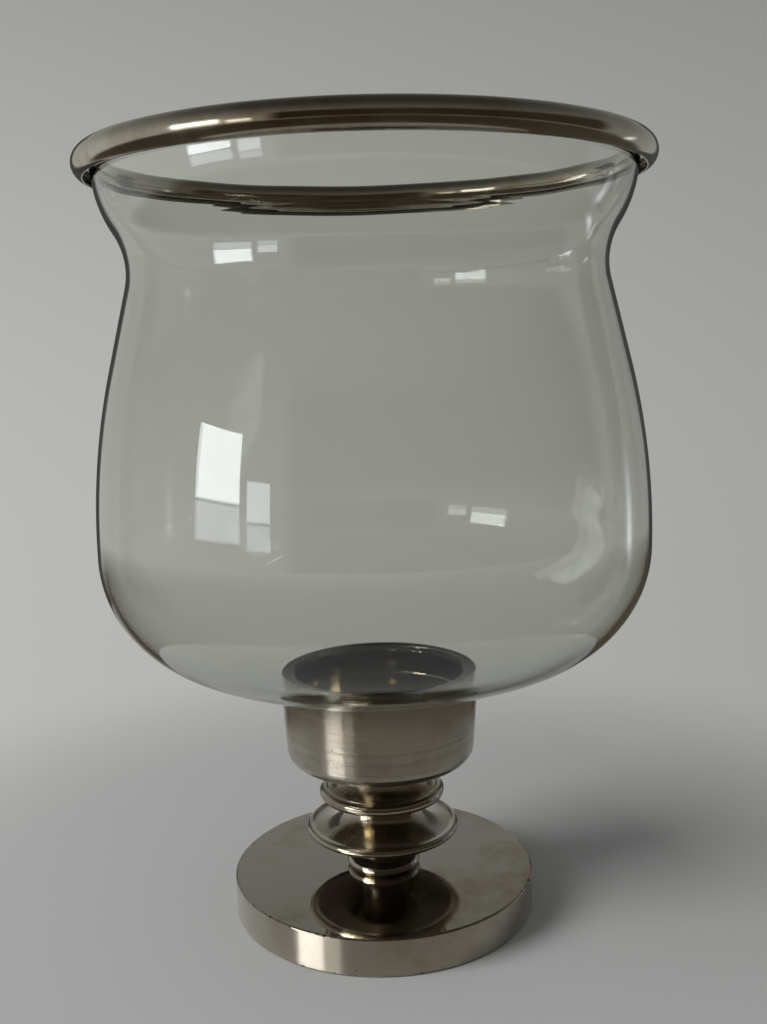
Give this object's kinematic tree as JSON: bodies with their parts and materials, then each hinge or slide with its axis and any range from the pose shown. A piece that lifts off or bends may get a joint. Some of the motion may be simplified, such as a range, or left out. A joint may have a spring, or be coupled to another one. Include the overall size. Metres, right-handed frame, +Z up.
{
  "type": "hurricane candle lantern",
  "caption": "Polished metal candle stand with a turned stem and deep cup, carrying a lift-off clear glass bowl with a flared lip and a loose rolled metal rim.",
  "frame": {"origin": "centre of the felt pad's underside, where the lantern stands on the table", "axes": "+Z up along the turning axis of every piece; X and Y are alike"},
  "size_m": [0.2502, 0.2501, 0.3479],
  "materials": {
    "nickel_plate": "cast aluminium, nickel plated and polished, warm grey mirror finish",
    "clear_glass": "clear mouth-blown glass, fire polished",
    "felt": "black wool felt",
    "steel": "zinc plated steel"
  },
  "bodies": {
    "stand": {"felt_pad": "felt", "base_plate": "nickel_plate", "base_washer": "steel", "base_nut": "steel", "tie_rod": "steel", "stem_foot": "nickel_plate", "stem_sleeve": "nickel_plate", "bell_saucer": "nickel_plate", "neck_spacer": "nickel_plate", "collar_disc": "nickel_plate", "cup_neck": "nickel_plate", "candle_cup": "nickel_plate"},
    "shade": {"glass_shade": "clear_glass"},
    "ring": {"rim_ring": "nickel_plate"}
  },
  "joints": [
    {"name": "shade_lift", "type": "slide", "parent": "stand", "child": "shade", "axis": [0, 0, 1], "range_m": [0, 0.05]},
    {"name": "ring_lift", "type": "slide", "parent": "shade", "child": "ring", "axis": [0, 0, 1], "range_m": [0, 0.03]}
  ]
}
